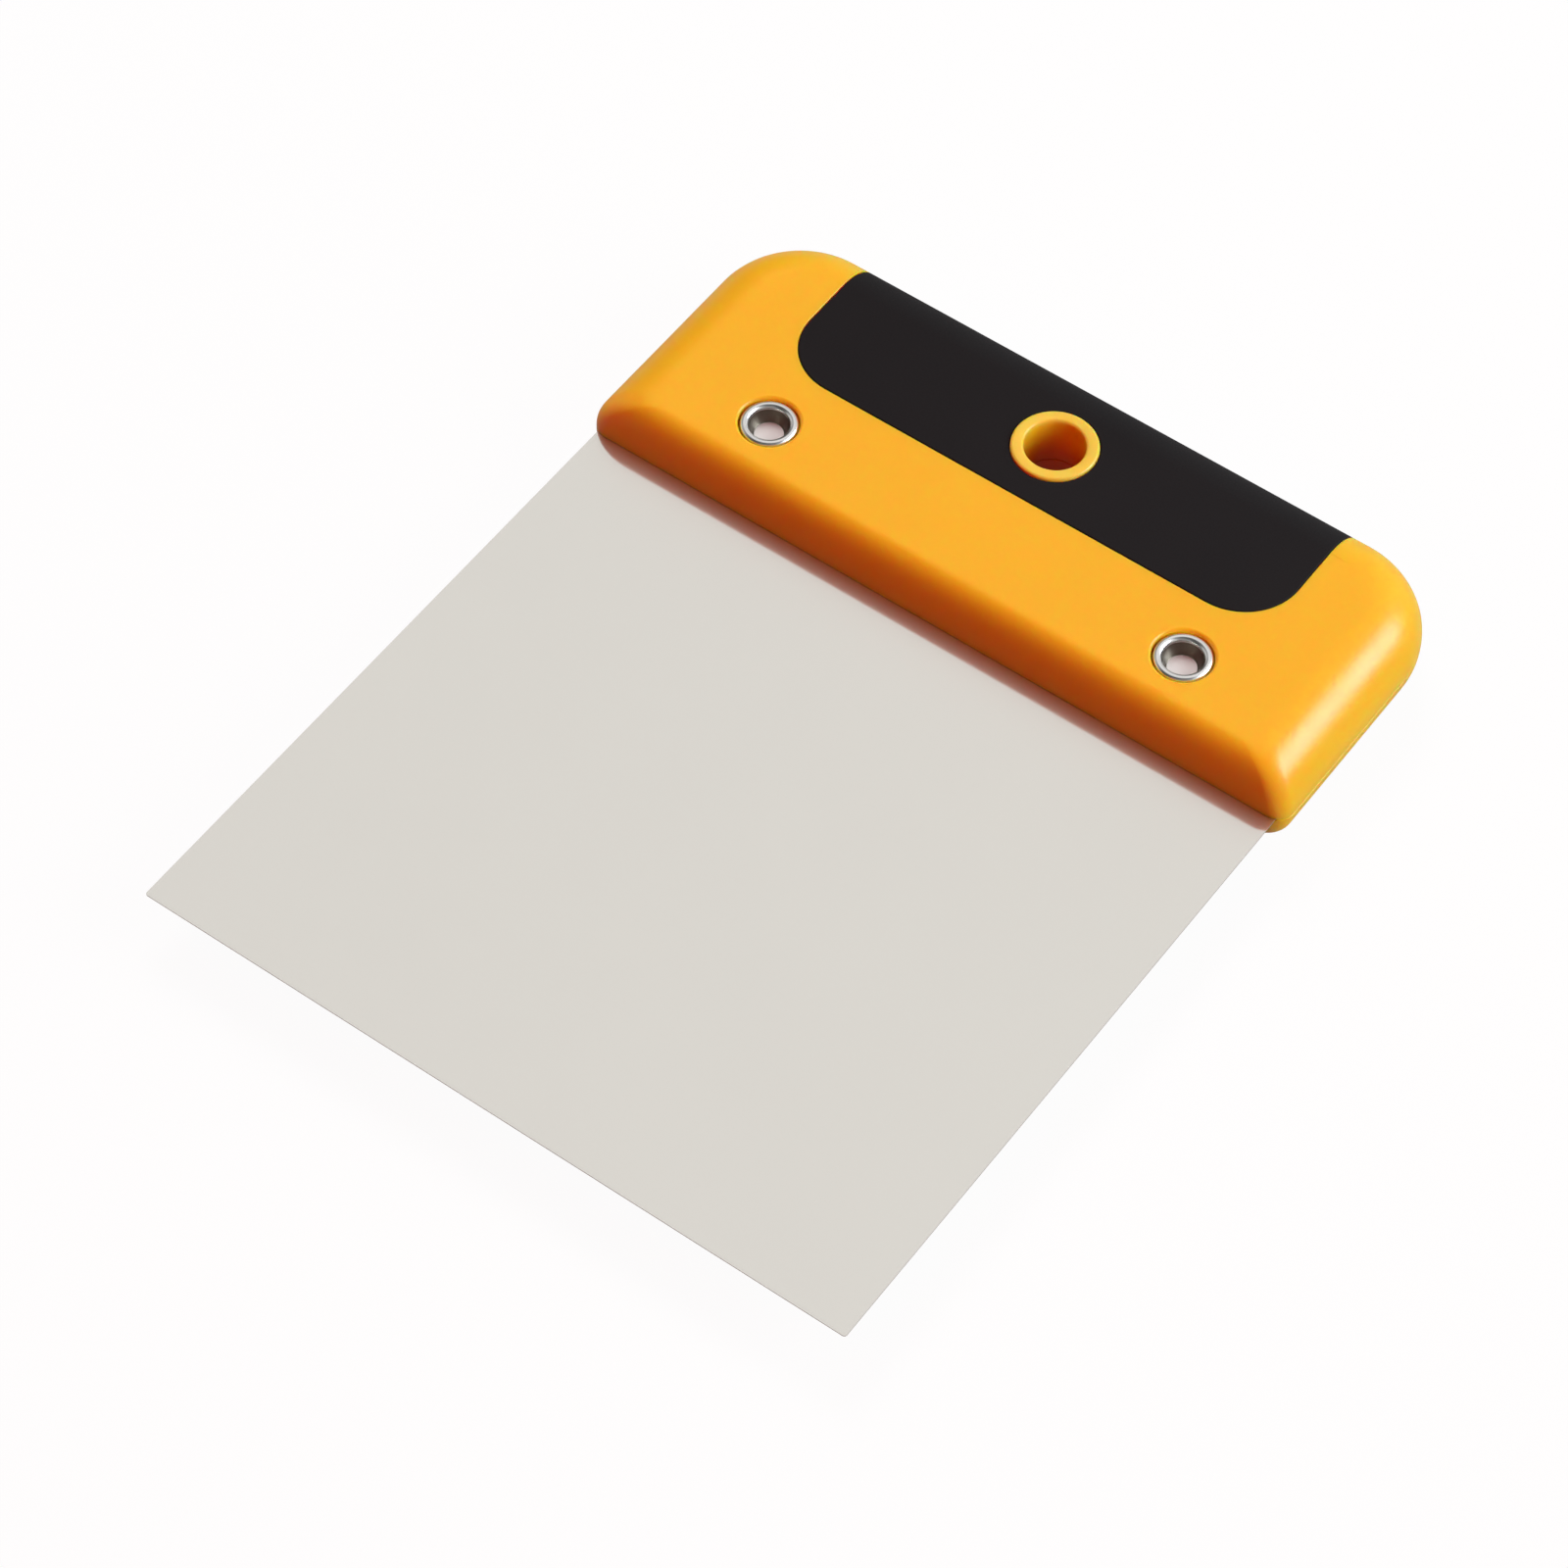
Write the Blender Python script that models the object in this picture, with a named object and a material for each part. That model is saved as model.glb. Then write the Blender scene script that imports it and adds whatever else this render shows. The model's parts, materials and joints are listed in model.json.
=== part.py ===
"""Putty knife with a wide sheet-steel blade.

The blade's tang lies between two hollow half shells. Two semi-tubular rivets clamp the stack,
two pegs line the shells up at the back, and a soft grip is let into the outside of each shell.

Axes: +X across the blade, +Y from the tip edge to the handle, +Z up through the rivets.
The origin is under the middle of the knife, level with the handle's lower face.
"""
import math

import bmesh
import bpy

MM = 0.001

# Blade
BLADE_WIDTH = 125.0 * MM
BLADE_REACH = 108.5 * MM  # from the tip edge to the front of the handle
BLADE_THICKNESS = 0.5 * MM
TIP_CORNER = 0.5 * MM
TANG_DEPTH = 24.0 * MM  # length of blade inside the handle
TANG_CORNER = 4.0 * MM

# Handle, both shells together
HANDLE_WIDTH = 128.0 * MM
HANDLE_DEPTH = 50.0 * MM
HANDLE_THICKNESS = 18.0 * MM
FRONT_ROUND = 5.8 * MM  # long edges above and below the blade
REAR_ROUND = 8.8 * MM  # edges of the ends and the back, almost a full round
FRONT_CORNER = 3.0 * MM  # corners beside the blade, seen from above
BACK_CORNER = 16.0 * MM

# Inside of the shells
SHELL_WALL = 2.2 * MM
RIB_THICKNESS = 1.6 * MM
RIB_SPACING = 38.0 * MM  # between the two long ribs
STOP_OVERHANG = 0.6 * MM  # how far the stop rib reaches over the end of the tang
PEG_DIAMETER = 3.6 * MM
PEG_LENGTH = 4.0 * MM  # below the seam
PEG_SPACING = 62.0 * MM
PEG_FROM_BACK = 11.0 * MM
PEG_BOSS_WALL = 1.8 * MM

# Soft grips
GRIP_WIDTH = 90.0 * MM
GRIP_DEPTH = 27.8 * MM  # from the back of the handle to the front of the grip
GRIP_CORNER = 10.0 * MM
GRIP_THICKNESS = 1.6 * MM

# Hanging hole
HANG_HOLE_DIAMETER = 9.6 * MM
HANG_HOLE_FROM_BACK = 16.3 * MM
COLLAR_WALL = 1.9 * MM

# Rivets
RIVET_SPACING = 76.0 * MM
RIVET_SETBACK = 11.4 * MM  # from the front of the handle
SHANK_DIAMETER = 6.0 * MM
TUBE_WALL = 0.55 * MM
TUBE_DEPTH = 4.4 * MM  # below the top of the rolled lip
MOUTH_FLARE = 0.8 * MM  # how much the mouth opens, on the radius
LIP_WIDTH = 1.05 * MM
LIP_THICKNESS = 0.9 * MM
HEAD_DIAMETER = 9.0 * MM
HEAD_THICKNESS = 1.1 * MM
HEAD_CROWN = 0.3 * MM
RIVET_SINK = 0.6 * MM  # both ends lie this far below the handle's faces
COUNTERBORE_ROOM = 0.8 * MM  # around the lip and the head
RIVET_BOSS_WALL = 1.2 * MM

# Gaps
FIT = 0.3 * MM  # between pieces that touch
SEAM_GAP = 0.3 * MM  # between the two shells
CUT_PAST = 1.0 * MM  # how far a cutter runs past the face it opens
LEAST_ROUND = 0.4 * MM  # a round inside a wall never gets smaller than this
WELD = 0.001 * MM  # points of a turned profile this close are one

# Facets
LEVELS = 10
FRONT_STEPS = 5
BACK_STEPS = 10
HOLE_SIDES = 40
RIVET_SIDES = 32
ARC_STEPS = 5
SHARP_EDGE = 30  # degrees

# Finishes: colour, roughness and metallic value
ORANGE_PLASTIC = ((0.90, 0.42, 0.01), 0.32, 0.0)
BLACK_RUBBER = ((0.02, 0.02, 0.02), 0.60, 0.0)
ROLLED_STEEL = ((0.70, 0.68, 0.63), 0.25, 1.0)
NICKEL_PLATE = ((0.78, 0.77, 0.75), 0.18, 1.0)

# Places that several pieces share, with y counted from the front of the handle
TOP = HANDLE_THICKNESS / 2
TANG_END = TANG_DEPTH + FIT
HANG_HOLE_Y = HANDLE_DEPTH - HANG_HOLE_FROM_BACK
PEG_Y = HANDLE_DEPTH - PEG_FROM_BACK
GRIP_FRONT = HANDLE_DEPTH - GRIP_DEPTH
COLLAR_RADIUS = HANG_HOLE_DIAMETER / 2 + COLLAR_WALL
SHANK_HOLE_RADIUS = SHANK_DIAMETER / 2 + FIT
SLOT_HALF_HEIGHT = BLADE_THICKNESS / 2 + FIT
BORE_RADIUS = SHANK_DIAMETER / 2 - TUBE_WALL
MOUTH_RADIUS = BORE_RADIUS + MOUTH_FLARE
LIP_RADIUS = MOUTH_RADIUS + LIP_WIDTH
UPPER, LOWER = 1, -1


def clear_scene():
    for item in list(bpy.data.objects):
        bpy.data.objects.remove(item, do_unlink=True)


def add_object(name, bm, parent, side=UPPER):
    """Turn a mesh built above the blade's middle plane into an object, flipped for the lower side."""
    if side == LOWER:
        for vert in bm.verts:
            vert.co.z = -vert.co.z
    bmesh.ops.recalc_face_normals(bm, faces=bm.faces[:])
    mesh = bpy.data.meshes.new(name)
    bm.to_mesh(mesh)
    bm.free()
    item = bpy.data.objects.new(name, mesh)
    bpy.context.scene.collection.objects.link(item)
    item.parent = parent
    return item


def combine(target, other, operation):
    """Add a live Boolean and keep the second object as a hidden guide."""
    modifier = target.modifiers.new(other.name, "BOOLEAN")
    modifier.operation = operation
    modifier.solver = "EXACT"
    modifier.object = other
    other.hide_render = True
    other.display_type = "WIRE"


def rounded_outline(half_width, front, back, front_corner, back_corner):
    """Plan outline, anticlockwise from the front right corner."""
    corners = (
        (half_width - front_corner, front + front_corner, front_corner, FRONT_STEPS, -90),
        (half_width - back_corner, back - back_corner, back_corner, BACK_STEPS, 0),
        (back_corner - half_width, back - back_corner, back_corner, BACK_STEPS, 90),
        (front_corner - half_width, front + front_corner, front_corner, FRONT_STEPS, 180),
    )
    points = []
    for x, y, radius, steps, start in corners:
        for step in range(steps + 1):
            angle = math.radians(start + 90 * step / steps)
            points.append((x + radius * math.cos(angle), y + radius * math.sin(angle)))
    return points


def loft(outlines):
    """Closed mesh through a stack of (height, outline) pairs with equal point counts."""
    bm = bmesh.new()
    rings = [[bm.verts.new((x, y, z)) for x, y in outline] for z, outline in outlines]
    count = len(rings[0])
    for low, high in zip(rings, rings[1:]):
        for i in range(count):
            j = (i + 1) % count
            bm.faces.new((low[i], low[j], high[j], high[i]))
    bm.faces.new(list(reversed(rings[0])))
    bm.faces.new(rings[-1])
    return bm


def cylinder(x, y, radius, low, high, sides=HOLE_SIDES):
    angles = [math.tau * i / sides for i in range(sides)]
    outline = [(x + radius * math.cos(a), y + radius * math.sin(a)) for a in angles]
    return loft([(low, outline), (high, outline)])


def block(x_low, x_high, y_low, y_high, low, high):
    outline = [(x_low, y_low), (x_high, y_low), (x_high, y_high), (x_low, y_high)]
    return loft([(low, outline), (high, outline)])


def lean_in(height, top, radius):
    """How far a wall has leaned in at a height, under a top edge with this round."""
    rise = max(0.0, height - (top - radius))
    return radius - math.sqrt(max(0.0, radius ** 2 - rise ** 2))


def half_form(inset, base):
    """Upper half of the handle's form, drawn in by inset on every face, from base to its top."""
    top = TOP - inset
    front_round = min(max(FRONT_ROUND - inset, LEAST_ROUND), top)
    rear_round = min(max(REAR_ROUND - inset, LEAST_ROUND), top)
    front_corner = max(FRONT_CORNER - inset, LEAST_ROUND)
    heights = [base] + [top * math.sin(math.pi / 2 * step / LEVELS) for step in range(1, LEVELS + 1)]
    outlines = []
    for height in heights:
        front_lean = inset + lean_in(height, top, front_round)
        rear_lean = inset + lean_in(height, top, rear_round)
        outline = rounded_outline(
            HANDLE_WIDTH / 2 - rear_lean,
            front_lean,
            HANDLE_DEPTH - rear_lean,
            front_corner,
            max(BACK_CORNER - rear_lean, LEAST_ROUND),
        )
        outlines.append((height, outline))
    return loft(outlines)


def grip_field(grow, base):
    """Upright block over the grip's plan, open past the back of the handle."""
    outline = rounded_outline(
        GRIP_WIDTH / 2 + grow,
        GRIP_FRONT - grow,
        HANDLE_DEPTH + CUT_PAST,
        GRIP_CORNER + grow,
        LEAST_ROUND,
    )
    return loft([(base, outline), (TOP + CUT_PAST, outline)])


def paint(item, finish):
    """Give an object its own plain material and smooth shading between its sharp edges."""
    colour, roughness, metallic = finish
    material = bpy.data.materials.new(item.name)
    material.use_nodes = True
    shader = material.node_tree.nodes["Principled BSDF"]
    shader.inputs["Base Color"].default_value = (*colour, 1.0)
    shader.inputs["Roughness"].default_value = roughness
    shader.inputs["Metallic"].default_value = metallic
    item.data.materials.append(material)
    item.data.shade_smooth()
    item.data.set_sharp_from_angle(angle=math.radians(SHARP_EDGE))


def grip_recess(name, side, parent):
    """Cutter for the pocket that a grip fills, with the hanging hole's collar left standing."""
    field = grip_field(FIT, -CUT_PAST)
    cutter = add_object(name, field, parent, side)
    floor = half_form(GRIP_THICKNESS + FIT, -2 * CUT_PAST)
    combine(cutter, add_object(name + "_floor", floor, parent, side), "DIFFERENCE")
    collar = cylinder(0, HANG_HOLE_Y, COLLAR_RADIUS, -2 * CUT_PAST, TOP + 2 * CUT_PAST)
    combine(cutter, add_object(name + "_collar", collar, parent, side), "DIFFERENCE")
    return cutter


def shell_cavity(name, side, parent, rivet_boss_radius, peg_boss_radius):
    """Cutter for a shell's hollow, which leaves an even wall, the bosses and the ribs."""
    cutter = add_object(name, half_form(SHELL_WALL, -CUT_PAST), parent, side)
    low = -2 * CUT_PAST
    high = TOP + CUT_PAST
    pocket = grip_field(FIT + SHELL_WALL, low)
    pocket_object = add_object(name + "_pocket", pocket, parent, side)
    ceiling = half_form(GRIP_THICKNESS + FIT + SHELL_WALL, 2 * low)
    combine(pocket_object, add_object(name + "_ceiling", ceiling, parent, side), "DIFFERENCE")
    combine(cutter, pocket_object, "DIFFERENCE")

    pillars = [("hang", 0.0, HANG_HOLE_Y, COLLAR_RADIUS)]
    for hand, sign in (("left", -1), ("right", 1)):
        pillars.append((hand + "_rivet", sign * RIVET_SPACING / 2, RIVET_SETBACK, rivet_boss_radius))
        pillars.append((hand + "_peg", sign * PEG_SPACING / 2, PEG_Y, peg_boss_radius))
    for label, x, y, radius in pillars:
        pillar = cylinder(x, y, radius, low, high)
        combine(cutter, add_object(name + "_boss_" + label, pillar, parent, side), "DIFFERENCE")

    for label, sign in (("left", -1), ("right", 1)):
        middle = sign * RIB_SPACING / 2
        rib = block(middle - RIB_THICKNESS / 2, middle + RIB_THICKNESS / 2, 0, HANDLE_DEPTH, low, high)
        combine(cutter, add_object(name + "_rib_" + label, rib, parent, side), "DIFFERENCE")
    stop = block(
        -HANDLE_WIDTH / 2,
        HANDLE_WIDTH / 2,
        TANG_END - STOP_OVERHANG,
        TANG_END + RIB_THICKNESS,
        low,
        high,
    )
    combine(cutter, add_object(name + "_stop", stop, parent, side), "DIFFERENCE")
    return cutter


def blade_slot(name, side, parent):
    """Cutter for the room that the tang takes between the shells, just clear of the collar."""
    half_width = BLADE_WIDTH / 2 + FIT
    room = block(-half_width, half_width, -CUT_PAST, TANG_END, -CUT_PAST, SLOT_HALF_HEIGHT)
    cutter = add_object(name, room, parent, side)
    collar = cylinder(0, HANG_HOLE_Y, COLLAR_RADIUS + FIT / 2, -2 * CUT_PAST, TOP)
    combine(cutter, add_object(name + "_collar", collar, parent, side), "DIFFERENCE")
    return cutter


def handle_shell(name, side, parent, seat_radius, seat_thickness):
    """One half of the handle. The seat is the counterbore for a rivet's lip or head."""
    shell = add_object(name, half_form(0.0, SEAM_GAP / 2), parent, side)
    combine(shell, grip_recess(name + "_recess", side, parent), "DIFFERENCE")
    counterbore_radius = seat_radius + COUNTERBORE_ROOM
    counterbore_floor = TOP - RIVET_SINK - seat_thickness - FIT
    socket_radius = PEG_DIAMETER / 2 + FIT
    cavity = shell_cavity(
        name + "_cavity",
        side,
        parent,
        counterbore_radius + RIVET_BOSS_WALL,
        socket_radius + PEG_BOSS_WALL,
    )
    combine(shell, cavity, "DIFFERENCE")
    combine(shell, blade_slot(name + "_slot", side, parent), "DIFFERENCE")

    past = TOP + CUT_PAST
    bore = cylinder(0, HANG_HOLE_Y, HANG_HOLE_DIAMETER / 2, -CUT_PAST, past)
    combine(shell, add_object(name + "_hang_hole", bore, parent, side), "DIFFERENCE")
    for hand, sign in (("left", -1), ("right", 1)):
        x = sign * RIVET_SPACING / 2
        hole = cylinder(x, RIVET_SETBACK, SHANK_HOLE_RADIUS, -CUT_PAST, past, RIVET_SIDES)
        combine(shell, add_object(name + "_shank_hole_" + hand, hole, parent, side), "DIFFERENCE")
        seat = cylinder(x, RIVET_SETBACK, counterbore_radius, counterbore_floor, past)
        combine(shell, add_object(name + "_counterbore_" + hand, seat, parent, side), "DIFFERENCE")
        peg_x = sign * PEG_SPACING / 2
        if side == UPPER:
            peg = cylinder(peg_x, PEG_Y, PEG_DIAMETER / 2, -PEG_LENGTH, CUT_PAST, RIVET_SIDES)
            combine(shell, add_object(name + "_peg_" + hand, peg, parent, side), "UNION")
        else:
            socket = cylinder(peg_x, PEG_Y, socket_radius, -CUT_PAST, PEG_LENGTH + FIT, RIVET_SIDES)
            combine(shell, add_object(name + "_socket_" + hand, socket, parent, side), "DIFFERENCE")
    paint(shell, ORANGE_PLASTIC)
    return shell


def soft_grip(name, side, parent):
    """Rubbery pad flush with the shell, wrapped over the back edge as far as the seam."""
    grip = add_object(name, half_form(0.0, SEAM_GAP / 2), parent, side)
    field = add_object(name + "_field", grip_field(0.0, -CUT_PAST), parent, side)
    combine(grip, field, "INTERSECT")
    core = half_form(GRIP_THICKNESS, -CUT_PAST)
    combine(grip, add_object(name + "_core", core, parent, side), "DIFFERENCE")
    collar = cylinder(0, HANG_HOLE_Y, COLLAR_RADIUS + FIT, -CUT_PAST, TOP + CUT_PAST)
    combine(grip, add_object(name + "_collar", collar, parent, side), "DIFFERENCE")
    paint(grip, BLACK_RUBBER)
    return grip


def blade(name, parent):
    """Flat sheet with small tip corners, a round-cornered tang and two rivet holes."""
    outline = rounded_outline(BLADE_WIDTH / 2, -BLADE_REACH, TANG_DEPTH, TIP_CORNER, TANG_CORNER)
    sheet = loft([(-BLADE_THICKNESS / 2, outline), (BLADE_THICKNESS / 2, outline)])
    item = add_object(name, sheet, parent)
    for hand, sign in (("left", -1), ("right", 1)):
        x = sign * RIVET_SPACING / 2
        hole = cylinder(x, RIVET_SETBACK, SHANK_HOLE_RADIUS, -CUT_PAST, CUT_PAST, RIVET_SIDES)
        combine(item, add_object(name + "_hole_" + hand, hole, parent), "DIFFERENCE")
    collar = cylinder(0, HANG_HOLE_Y, COLLAR_RADIUS + FIT, -CUT_PAST, CUT_PAST)
    combine(item, add_object(name + "_collar", collar, parent), "DIFFERENCE")
    paint(item, ROLLED_STEEL)
    return item


def arc(x, z, radius, start, end):
    """Points of a profile's arc, angles in degrees."""
    points = []
    for step in range(ARC_STEPS + 1):
        angle = math.radians(start + (end - start) * step / ARC_STEPS)
        points.append((x + radius * math.cos(angle), z + radius * math.sin(angle)))
    return points


def rivet_profile():
    """Half section from the bottom of the tube, over the rolled lip, to the middle of the head."""
    lip_top = TOP - RIVET_SINK
    lip_under = lip_top - LIP_THICKNESS
    head_low = -(TOP - RIVET_SINK)
    head_edge = head_low + HEAD_CROWN
    head_high = head_low + HEAD_THICKNESS
    half_lip = LIP_THICKNESS / 2
    profile = [(0.0, lip_top - TUBE_DEPTH), (BORE_RADIUS, lip_top - TUBE_DEPTH)]
    profile += arc(MOUTH_RADIUS, lip_top - MOUTH_FLARE, MOUTH_FLARE, 180, 90)
    profile += arc(LIP_RADIUS - half_lip, lip_top - half_lip, half_lip, 90, -90)
    profile += [(SHANK_DIAMETER / 2, lip_under), (SHANK_DIAMETER / 2, head_high)]
    profile += [(HEAD_DIAMETER / 2, head_high), (HEAD_DIAMETER / 2, head_edge)]
    sphere = ((HEAD_DIAMETER / 2) ** 2 + HEAD_CROWN ** 2) / (2 * HEAD_CROWN)
    for step in range(1, ARC_STEPS):
        x = HEAD_DIAMETER / 2 * (1 - step / ARC_STEPS)
        profile.append((x, head_low + sphere - math.sqrt(sphere ** 2 - x ** 2)))
    profile.append((0.0, head_low))
    return profile


def rivet(name, x, parent):
    """Semi-tubular rivet: a head below, a shank, and a tube rolled outwards above."""
    bm = bmesh.new()
    verts = [bm.verts.new((radius, 0.0, z)) for radius, z in rivet_profile()]
    edges = [bm.edges.new(pair) for pair in zip(verts, verts[1:])]
    bmesh.ops.spin(
        bm,
        geom=verts + edges,
        cent=(0.0, 0.0, 0.0),
        axis=(0.0, 0.0, 1.0),
        angle=math.tau,
        steps=RIVET_SIDES,
        use_merge=True,
    )
    bmesh.ops.remove_doubles(bm, verts=bm.verts[:], dist=WELD)
    item = add_object(name, bm, parent)
    item.location = (x, RIVET_SETBACK, 0.0)
    paint(item, NICKEL_PLATE)
    return item


def build():
    clear_scene()
    middle = bpy.data.objects.new("middle_plane", None)
    bpy.context.scene.collection.objects.link(middle)
    middle.location = (0.0, (BLADE_REACH - HANDLE_DEPTH) / 2, TOP)
    blade("blade", middle)
    handle_shell("upper_shell", UPPER, middle, LIP_RADIUS, LIP_THICKNESS)
    handle_shell("lower_shell", LOWER, middle, HEAD_DIAMETER / 2, HEAD_THICKNESS)
    soft_grip("upper_grip", UPPER, middle)
    soft_grip("lower_grip", LOWER, middle)
    rivet("left_rivet", -RIVET_SPACING / 2, middle)
    rivet("right_rivet", RIVET_SPACING / 2, middle)


build()
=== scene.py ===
# %% [markdown]
# # A wide putty knife, dressed for its photograph
# The frame holds the seven solids of one putty knife at their real size: a sheet-steel blade, two
# half shells of a plastic handle, two soft grips and two rivets. This lesson builds a finer piece
# for each of them, gives every piece its finish, and then sets up the light and the camera.
# Lengths are in metres. X runs across the blade, Y from the tip edge to the handle, and Z is up.

# %% Load the frame
import json
import math

import bmesh
import bpy
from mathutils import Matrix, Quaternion, Vector


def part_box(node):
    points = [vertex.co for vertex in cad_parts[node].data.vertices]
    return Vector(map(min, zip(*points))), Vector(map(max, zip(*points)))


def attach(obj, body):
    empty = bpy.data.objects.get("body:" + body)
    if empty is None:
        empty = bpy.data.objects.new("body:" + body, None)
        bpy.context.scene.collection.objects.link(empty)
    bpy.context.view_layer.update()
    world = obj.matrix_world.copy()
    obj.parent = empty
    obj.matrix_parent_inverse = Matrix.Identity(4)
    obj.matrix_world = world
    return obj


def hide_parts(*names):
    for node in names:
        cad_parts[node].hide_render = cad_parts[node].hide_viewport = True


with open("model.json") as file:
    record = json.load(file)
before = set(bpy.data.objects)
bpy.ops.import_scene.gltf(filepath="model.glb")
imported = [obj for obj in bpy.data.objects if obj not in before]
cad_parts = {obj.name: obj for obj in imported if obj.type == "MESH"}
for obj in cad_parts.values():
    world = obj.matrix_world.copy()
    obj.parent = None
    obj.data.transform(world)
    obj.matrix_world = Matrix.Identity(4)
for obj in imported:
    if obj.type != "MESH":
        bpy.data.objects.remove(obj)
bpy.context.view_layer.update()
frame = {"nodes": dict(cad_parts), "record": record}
print("frame nodes:", ", ".join(sorted(frame["nodes"])))

# %% [markdown]
# ## Measure the frame
# Every piece has to land where its solid is, so the main sizes are read from the frame and not
# typed again. All pieces are modelled around one bench point: the middle of the handle's front
# edge, at half its height. The sheet of the blade lies level with that point, so the two halves
# of the handle are mirror images about it, and "up" and "down" need the same code only once.

# %% Main sizes
MM = 0.001
blade_low, blade_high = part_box("blade")
shell_low, shell_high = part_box("upper_shell")
grip_low, grip_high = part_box("upper_grip")
rivet_low, rivet_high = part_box("right_rivet")
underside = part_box("lower_shell")[0].z
hole_low, hole_high = frame["record"]["physics"]["openings"][0]["box_m"]

BENCH = Vector((0.0, shell_low.y, (shell_high.z + underside) / 2))
HALF_WIDTH = shell_high.x
DEPTH = shell_high.y - BENCH.y
TOP = shell_high.z - BENCH.z
RIVET_X = (rivet_low.x + rivet_high.x) / 2
RIVET_SHIFT = 0.3 * MM  # the rolled lips sit this far behind the middle of the frame's rivets
RIVET_Y = (rivet_low.y + rivet_high.y) / 2 - BENCH.y + RIVET_SHIFT
HOLE_Y = (hole_low[1] + hole_high[1]) / 2 - BENCH.y
print(f"handle {2 * HALF_WIDTH / MM:.1f} wide, {DEPTH / MM:.1f} deep, {2 * TOP / MM:.1f} mm thick")
print(f"rivets at x {RIVET_X / MM:.1f}, y {RIVET_Y / MM:.1f} mm")
print(f"hanging hole at y {HOLE_Y / MM:.1f} mm")

# %% [markdown]
# ## Lofts
# A moulding is easy to think of as a stack of outlines, like the contour lines of a hill. A loft
# joins each outline to the next with a strip of quads. Blender could also close the ends with one
# many-sided face, but these outlines are the same left and right, so the ends are closed with
# rungs, like a ladder. Rungs can follow a bend, which one big face can't.

# %% Outlines and lofts
UPPER, LOWER = 1, -1


def quarter(x, y, radius, start, steps):
    """Points of a quarter circle, anticlockwise from a start angle in degrees."""
    angles = [math.radians(start + 90 * step / steps) for step in range(steps + 1)]
    return [(x + radius * math.cos(angle), y + radius * math.sin(angle)) for angle in angles]


def both_hands(right):
    """Close the right half of an outline with its mirror image."""
    return right + [(-x, y) for x, y in reversed(right)]


def loft(rings):
    """Closed mesh through rings of points, where point i of a ring mirrors point i from its end."""
    bm = bmesh.new()
    rows = [[bm.verts.new(point) for point in ring] for ring in rings]
    count = len(rows[0])
    for low, high in zip(rows, rows[1:]):
        for i in range(count):
            j = (i + 1) % count
            bm.faces.new((low[i], low[j], high[j], high[i]))
    for row in (rows[0], rows[-1]):
        for i in range(count // 2 - 1):
            bm.faces.new((row[i], row[i + 1], row[count - 2 - i], row[count - 1 - i]))
    return bm


def block(half_width, front, back, low, high):
    """Box that is centred left to right."""
    outline = both_hands([(half_width, front), (half_width, back)])
    return loft([[(x, y, z) for x, y in outline] for z in (low, high)])


# %% [markdown]
# ## Turned parts and round lips
# Rivets, holes and the ring round the hanging hole are all round, so they are turned: a half
# section is drawn beside the axis and spun about it, as on a lathe. The edge of a moulded hole is
# never a knife edge. Bevelling it after a cut often goes wrong where faces are small, so here the
# cutting tool itself opens out like a trumpet and leaves a round lip behind.

# %% Turned parts
TURN_STEPS = 96
WELD = 0.0005 * MM
PAST = 1.0 * MM  # how far a cutting tool runs past the face that it opens
SKIM = 0.02 * MM  # a cut lip would end this far above the face, so tool and face cross at an angle
LIP_STEPS = 8
LIP_TURN = 80


def turned(profile, tube=False):
    """Closed mesh from (radius, height) pairs that start and end on the axis, or close a tube's wall."""
    bm = bmesh.new()
    verts = [bm.verts.new((radius, 0.0, height)) for radius, height in profile]
    edges = [bm.edges.new(pair) for pair in zip(verts, verts[1:])]
    if tube:
        edges.append(bm.edges.new((verts[-1], verts[0])))
    bmesh.ops.spin(
        bm,
        geom=verts + edges,
        cent=(0.0, 0.0, 0.0),
        axis=(0.0, 0.0, 1.0),
        angle=math.tau,
        steps=TURN_STEPS,
        use_merge=True,
    )
    bmesh.ops.remove_doubles(bm, verts=bm.verts[:], dist=WELD)
    return bm


def lip(round_radius):
    """(outward, upward) steps over a round lip, counted from where it meets the face."""
    angles = [math.radians(LIP_TURN * step / LIP_STEPS) for step in range(LIP_STEPS + 1)]
    return [
        (round_radius * (1 - math.cos(angle)), round_radius * (math.sin(angle) - 1))
        for angle in angles
    ]


def drill(steps, mouth, round_radius):
    """Cutting tool for a stepped hole of (radius, floor) pairs whose mouth has a round lip."""
    profile = []
    inner = 0.0
    for radius, floor in steps:
        profile += [(inner, floor), (radius, floor)]
        inner = radius
    profile += [(inner + out, mouth + SKIM + up) for out, up in lip(round_radius)]
    profile += [(profile[-1][0], mouth + PAST), (0.0, mouth + PAST)]
    return turned(profile)


# %% [markdown]
# ## Objects and cuts
# A mesh becomes an object at the bench point, flipped for the lower half. Two solids are combined
# with the Boolean modifier and its exact solver. The result is baked into a new mesh at once, so
# that each piece ends as plain geometry and no tool is left in the scene.

# %% Objects and cuts
SHARP = math.radians(35)


def place(name, bm, x=0.0, y=0.0, side=UPPER):
    """Object from a mesh that was modelled above the blade's middle plane."""
    if side == LOWER:
        bmesh.ops.scale(bm, vec=(1.0, 1.0, -1.0), verts=bm.verts[:])
    bmesh.ops.recalc_face_normals(bm, faces=bm.faces[:])
    mesh = bpy.data.meshes.new(name)
    bm.to_mesh(mesh)
    bm.free()
    piece = bpy.data.objects.new(name, mesh)
    bpy.context.scene.collection.objects.link(piece)
    piece.location = BENCH + Vector((x, y, 0.0))
    return piece


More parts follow.
